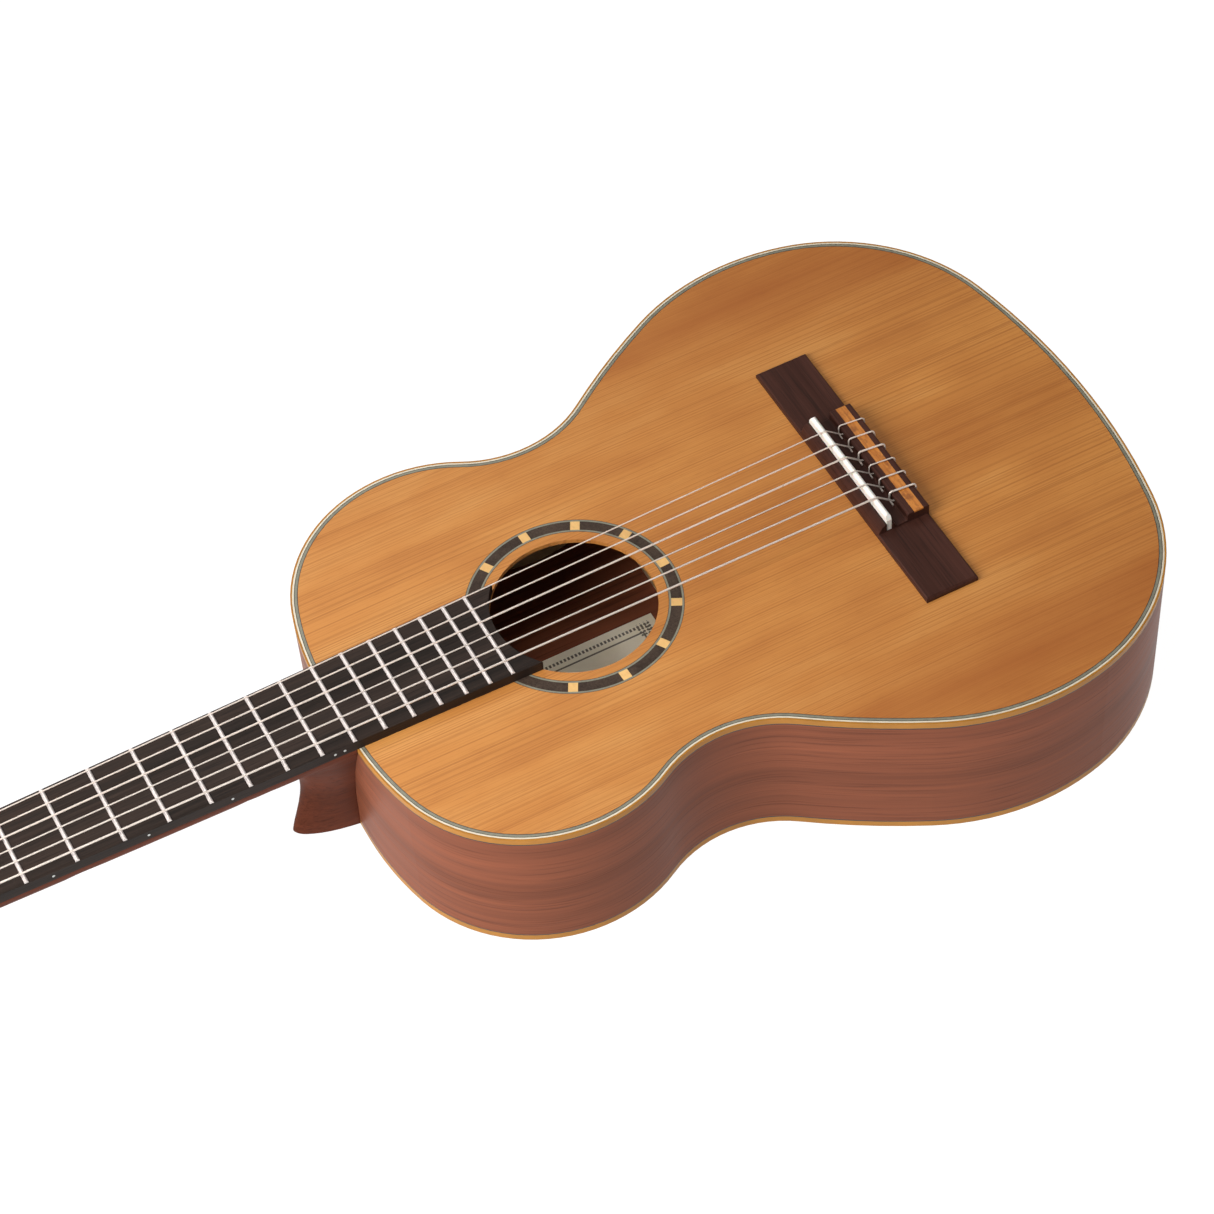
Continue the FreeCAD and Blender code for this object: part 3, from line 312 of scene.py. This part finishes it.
def burl_inlay():
    """Orange figured wood with small darker knots, as in the tie block's strip."""
    f = Finish("orange_inlay", coat_weight=0.15, coat_roughness=0.25)
    lines = f.noise(f.scaled(f.place, (700.0, 90.0, 700.0)), detail=3.0)
    colour = f.ramp(lines, (0.35, (0.40, 0.125, 0.018)), (0.65, (0.58, 0.215, 0.035)))
    knots = f.remap(f.noise(f.scaled(f.place, (210.0, 150.0, 100.0)), detail=3.0, roughness=0.7), 0.52, 0.68)
    colour = f.mix(f.math("MULTIPLY", knots, 0.75), colour, (0.20, 0.055, 0.012))
    return f.finish(colour, f.remap(lines, 0.3, 0.7, 0.35, 0.45), lines, depth=0.00004)


def pearl():
    """Pearly moulded plastic for the finger buttons."""
    f = Finish(
        "pearl_button",
        coat_weight=0.6,
        coat_roughness=0.08,
        subsurface_weight=0.15,
        subsurface_scale=0.002,
    )
    swirl = f.noise(f.place, scale=160.0, detail=3.0, distortion=2.2)
    colour = f.ramp(swirl, (0.32, (0.62, 0.58, 0.50)), (0.5, (0.80, 0.77, 0.70)), (0.68, (0.90, 0.88, 0.82)))
    return f.finish(colour, f.remap(swirl, 0.3, 0.7, 0.16, 0.28), swirl, depth=0.00003, strength=0.15)


def label_paper():
    """Paper with a plain ruled border, a row of short ticks outside it and latticed corners."""
    low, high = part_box("label")
    f = Finish("label_paper", specular_ior_level=0.1)
    axes = f.add("ShaderNodeSeparateXYZ", {0: f.place})
    x, y = axes.outputs["X"], axes.outputs["Y"]
    middle_x, half_x, half_y = (low.x + high.x) / 2, (high.x - low.x) / 2, high.y
    inset_x = f.math("SUBTRACT", half_x, f.math("ABSOLUTE", f.math("SUBTRACT", x, middle_x)))
    inset_y = f.math("SUBTRACT", half_y, f.math("ABSOLUTE", y))
    inset = f.math("MINIMUM", inset_x, inset_y)
    blot = f.noise(f.place, scale=45.0, detail=5.0, roughness=0.65)
    colour = f.ramp(blot, (0.3, (0.88, 0.77, 0.57)), (0.7, (0.98, 0.88, 0.69)))
    past = f.math("GREATER_THAN", inset, TICKS_FROM)
    band = f.math("MULTIPLY", past, f.math("LESS_THAN", inset, TICKS_TO))
    lengthwise = f.math("LESS_THAN", inset_y, inset_x)
    run = f.add("ShaderNodeMix", {0: lengthwise, 2: y, 3: x}).outputs[0]
    tick = f.math("GREATER_THAN", f.math("SINE", f.math("MULTIPLY", run, 2 * math.pi / TICK_PITCH)), -0.2)
    rule = f.math("COMPARE", inset, RULE_AT, RULE_HALF)
    ink = f.math("MAXIMUM", rule, f.math("MULTIPLY", band, tick))
    corner = f.math("LESS_THAN", f.math("MAXIMUM", inset_x, inset_y), CORNER_SIZE)
    turn = 2 * math.pi / LATTICE_PITCH
    lattice = f.math(
        "MULTIPLY",
        f.math("SINE", f.math("MULTIPLY", f.math("ADD", x, y), turn)),
        f.math("SINE", f.math("MULTIPLY", f.math("SUBTRACT", x, y), turn)),
    )
    inside = f.math("GREATER_THAN", inset, LATTICE_FROM)
    lattice = f.math("MULTIPLY", f.math("GREATER_THAN", lattice, 0.1), inside)
    ink = f.math("MAXIMUM", ink, f.math("MULTIPLY", corner, lattice))
    colour = f.mix(f.math("MULTIPLY", ink, 0.85), colour, (0.06, 0.04, 0.03))
    return f.finish(colour, f.remap(blot, 0.3, 0.7, 0.75, 0.9), blot, depth=0.00005, strength=0.3)


finishes = {
    "cedar": cedar(),
    "mahogany_side": wood("mahogany_side", LEVEL, rough=(0.36, 0.5), gloss=0.08, **MAHOGANY),
    "mahogany_back": wood("mahogany_back", (6.0, 300.0, 300.0), rough=(0.36, 0.5), gloss=0.08, **MAHOGANY),
    "mahogany_neck": wood("mahogany_neck", ALONG_X, rough=(0.42, 0.55), soften=0.0006, gloss=0.04, **NECK),
    "spruce": wood("spruce", (8.0, 300.0, 300.0), pores=0.3, rough=(0.6, 0.75), **SPRUCE),
    "spruce_across": wood("spruce_across", (300.0, 8.0, 300.0), pores=0.3, rough=(0.6, 0.75), **SPRUCE),
    "ebony": wood("ebony", (14.0, 600.0, 600.0), rough=(0.4, 0.55), soften=0.0004, gloss=0.14, **EBONY),
    "rosewood": wood("rosewood", (500.0, 12.0, 500.0), soften=0.0005, gloss=0.15, **ROSEWOOD),
    "head_rosewood": wood("head_rosewood", (12.0, 500.0, 500.0), soften=0.0004, coat_weight=0.1, **ROSEWOOD),
    "rosette_dark": wood("rosette_dark", (700.0, 700.0, 20.0), gloss=0.12, **DYED),
    "maple": wood("maple", (300.0, 120.0, 300.0), pores=0.2, **MAPLE),
    "honey_binding": smooth("honey_binding", HONEY, 0.38, 60.0, 0.8, soften=0.0005, specular_ior_level=0.15),
    "cream_line": smooth("cream_line", (0.70, 0.62, 0.47), 0.4, scale=200.0, shade=0.85),
    "grey_line": smooth("grey_line", (0.225, 0.215, 0.155), 0.42, scale=300.0, shade=0.7),
    "dark_line": smooth("dark_line", (0.035, 0.024, 0.018), 0.42, scale=300.0, shade=0.7),
    "orange_inlay": burl_inlay(),
    "bone": smooth("bone", BONE, 0.32, 240.0, 0.92, soften=0.0003, coat_weight=0.2, subsurface_weight=0.1),
    "fret_metal": metal("fret_metal", (0.88, 0.79, 0.75), (0.32, 0.45), FRET_WEAR, metallic=0.5),
    "plated_metal": metal("plated_metal", (0.80, 0.77, 0.70)),
    "brass": metal("brass", (0.72, 0.52, 0.24), (0.24, 0.4)),
    "pearl_button": pearl(),
    "roller_plastic": smooth("roller_plastic", (0.80, 0.76, 0.66), 0.35, scale=200.0, coat_weight=0.1),
    "nylon": smooth("nylon", (0.88, 0.76, 0.67), 0.3, scale=400.0, shade=0.94, transmission_weight=0.35),
    "wound_string": wound("wound_string", "Object"),
    "wound_coil": wound("wound_coil", "UV"),
    "dot": smooth("dot", (0.50, 0.52, 0.50), 0.3, scale=900.0, coat_weight=0.2),
    "paper": label_paper(),
}

NODE_FINISH = {
    "soundboard": "cedar",
    "back_plate": "mahogany_back",
    "side_bass": "mahogany_side",
    "side_treble": "mahogany_side",
    "top_binding": "honey_binding",
    "back_binding": "honey_binding",
    "edge_line": "cream_line",
    "purfling_dark": "dark_line",
    "purfling_pale": "grey_line",
    "neck_block": "spruce",
    "tail_block": "spruce_across",
    "linings": "spruce",
    "soundboard_braces": "spruce",
    "back_braces": "spruce_across",
    "label": "paper",
    "rosette_band": "rosette_dark",
    "rosette_squares": "maple",
    "rosette_lines": "grey_line",
    "bridge": "rosewood",
    "saddle": "bone",
    "tie_block_inlay": "orange_inlay",
    "neck": "mahogany_neck",
    "head_veneer": "head_rosewood",
    "fingerboard": "ebony",
    "frets": "fret_metal",
    "nut": "bone",
    "side_dots": "dot",
    "machine_plate_treble": "plated_metal",
    "machine_plate_bass": "plated_metal",
    "plate_screws": "plated_metal",
}
for number in range(1, 7):
    NODE_FINISH[f"string_{number}"] = "nylon" if number <= 3 else "wound_string"
    NODE_FINISH[f"gear_{number}"] = "brass"
    NODE_FINISH[f"worm_{number}"] = "plated_metal"
    NODE_FINISH[f"button_{number}"] = "pearl_button"
    NODE_FINISH[f"roller_{number}"] = "roller_plastic"


def paint(piece, finish):
    """Gives every face of a piece one finish."""
    piece.data.materials.clear()
    piece.data.materials.append(finishes[finish])
    if piece.type == "MESH":
        for face in piece.data.polygons:
            face.material_index = 0


for node, finish in NODE_FINISH.items():
    paint(NODES[node], finish)

# ---------------------------------------------------------------- rollers and the strings wound on them

# Lengths here are in millimetres. LANDING and WINDING_SIDE go from the nut outwards, alike on both sides.
BARREL_R = 4.8
STRING_D = (0.71, 0.82, 1.02, 0.76, 0.91, 1.09)  # strings 1 to 6
LANDING = (16.0, 14.0, 14.0)  # where the string meets its roller, out from the centre line
WINDING_SIDE = (-1, 1, 1)  # its turns go on towards the centre line (-1) or away from it (1)
GAP = 0.3  # between the straight string and the first of its turns
COIL_TURNS = 3
COIL_FILL = 0.98  # of the string's diameter, so that turns side by side don't merge
POINT_R = 0.02  # stands in for a radius of nothing, so that the end faces keep separate corners

BARREL_SIDES = 40
STRING_SIDES = 12
STEPS_PER_TURN = 40

# The roller's turned outline: distance from its inner end, radius. Its last points are the hole for the
# gear's screw.
BARREL_OUTLINE = (
    (0.0, 0.0),
    (0.0, 4.2),
    (0.25, 4.6),
    (0.8, 4.8),
    (25.8, 4.8),
    (26.35, 4.6),
    (26.6, 4.2),
    (26.6, 3.0),
    (29.5, 3.0),
    (29.5, 2.4),
    (33.5, 2.4),
    (33.5, 1.2),
    (28.5, 1.2),
    (28.5, 0.0),
)


def grid_piece(name, rows, finish, lengths=None):
    """A smooth surface through closed rows of points, with capped ends; lengths give U along the piece."""
    mesh = bpy.data.meshes.new(name)
    around = len(rows[0])
    faces = []
    for row in range(len(rows) - 1):
        near, far = row * around, (row + 1) * around
        for step in range(around):
            after = (step + 1) % around
            faces.append((near + step, near + after, far + after, far + step))
    faces.append(tuple(range(around - 1, -1, -1)))
    faces.append(tuple((len(rows) - 1) * around + step for step in range(around)))
    mesh.from_pydata([point for row in rows for point in row], [], faces)
    if lengths:
        layer = mesh.uv_layers.new(name="UVMap")
        for loop in mesh.loops:
            row, step = divmod(loop.vertex_index, around)
            layer.data[loop.index].uv = (lengths[row], step / around)
    tidy = bmesh.new()
    tidy.from_mesh(mesh)
    bmesh.ops.recalc_face_normals(tidy, faces=tidy.faces)
    tidy.to_mesh(mesh)
    tidy.free()
    mesh.shade_smooth()
    mesh.set_sharp_from_angle(angle=math.radians(40))
    piece = bpy.data.objects.new(name, mesh)
    scene.collection.objects.link(piece)
    paint(piece, finish)
    return piece


def roller_pieces(number):
    """The turned barrel of a roller and the coils of string on it, in place of the CAD's plain roller."""
    low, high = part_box(f"roller_{number}")
    centre_x, centre_z = (low.x + high.x) / 2, (low.z + high.z) / 2
    treble = number <= 3
    sign, place = (1, number - 1) if treble else (-1, 6 - number)
    inner = low.y if sign > 0 else high.y

    rows = []
    angles = [2 * math.pi * step / BARREL_SIDES for step in range(BARREL_SIDES)]
    for distance, radius in BARREL_OUTLINE:
        y = inner + sign * distance * MM
        reach = max(radius, POINT_R) * MM
        rows.append([(centre_x + reach * math.cos(a), y, centre_z + reach * math.sin(a)) for a in angles])
    barrel = grid_piece(f"roller_{number}_barrel", rows, "roller_plastic")

    diameter = STRING_D[number - 1] * MM
    side = WINDING_SIDE[place]
    first = LANDING[place] * MM + side * (diameter + GAP * MM)
    radius = BARREL_R * MM + diameter / 2
    thick = COIL_FILL * diameter / 2
    across = Vector((0, 1, 0))
    ring = [2 * math.pi * corner / STRING_SIDES for corner in range(STRING_SIDES)]
    rows, lengths = [], []
    for step in range(COIL_TURNS * STEPS_PER_TURN + 1):
        turn = step / STEPS_PER_TURN
        angle = 2 * math.pi * turn + math.pi / 2
        outward = Vector((math.cos(angle), 0, math.sin(angle)))
        middle = Vector((centre_x, sign * (first + side * turn * diameter), centre_z)) + outward * radius
        rows.append([middle + (outward * math.cos(a) + across * math.sin(a)) * thick for a in ring])
        lengths.append(2 * math.pi * turn * radius)
    coils = grid_piece(f"roller_{number}_coils", rows, "nylon" if treble else "wound_coil", lengths)
    for piece in (barrel, coils):
        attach(piece, f"roller_{number}_turning")
        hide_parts(f"roller_{number}")


for number in range(1, 7):
    roller_pieces(number)

# ---------------------------------------------------------------- floor and light

FLOOR_HALF = 6.0
FLOOR_DROP = 0.0002  # keeps the floor's face apart from the back's
LIGHT_AIM = (-0.05, 0.0, 0.09)


def floor():
    """A wide white floor just under the guitar. It glows, so that hardly any shadow shows on it."""
    mesh = bpy.data.meshes.new("floor")
    corners = [(x * FLOOR_HALF, y * FLOOR_HALF, 0) for x, y in ((-1, -1), (1, -1), (1, 1), (-1, 1))]
    mesh.from_pydata(corners, [], [(0, 1, 2, 3)])
    piece = bpy.data.objects.new("floor", mesh)
    piece.location = (0, 0, cad_box[0].z - FLOOR_DROP)
    scene.collection.objects.link(piece)
    f = Finish("floor", specular_ior_level=0.0, emission_color=(1.0, 1.0, 1.0, 1.0), emission_strength=0.98)
    cloud = f.noise(f.place, scale=3.0, detail=2.0)
    colour = f.ramp(cloud, (0.3, (0.10, 0.10, 0.10)), (0.7, (0.12, 0.12, 0.12)))
    mesh.materials.append(f.finish(colour, f.remap(cloud, 0.3, 0.7, 0.8, 0.9)))


def softbox(name, at, width, height, watts):
    """A rectangular area light, aimed at the top of the body."""
    data = bpy.data.lights.new(name, "AREA")
    data.shape = "RECTANGLE"
    data.size, data.size_y = width, height
    data.energy = watts
    lamp = bpy.data.objects.new(name, data)
    lamp.location = at
    lamp.rotation_euler = (Vector(LIGHT_AIM) - Vector(at)).to_track_quat("-Z", "Y").to_euler()
    scene.collection.objects.link(lamp)


floor()
softbox("key", (-1.05, -0.25, 0.78), 0.7, 0.9, 20.0)
softbox("front_fill", (-1.1, -1.5, 0.9), 1.2, 0.8, 4.0)
softbox("back_sheen", (-0.10, 1.35, 1.85), 0.8, 0.8, 8.0)
softbox("overhead", (-0.30, -0.15, 1.50), 0.4, 0.4, 4.5)

world = bpy.data.worlds.new("studio")
world.use_nodes = True
background = world.node_tree.nodes["Background"]
background.inputs["Color"].default_value = (1.0, 1.0, 1.0, 1.0)
background.inputs["Strength"].default_value = 0.22
scene.world = world
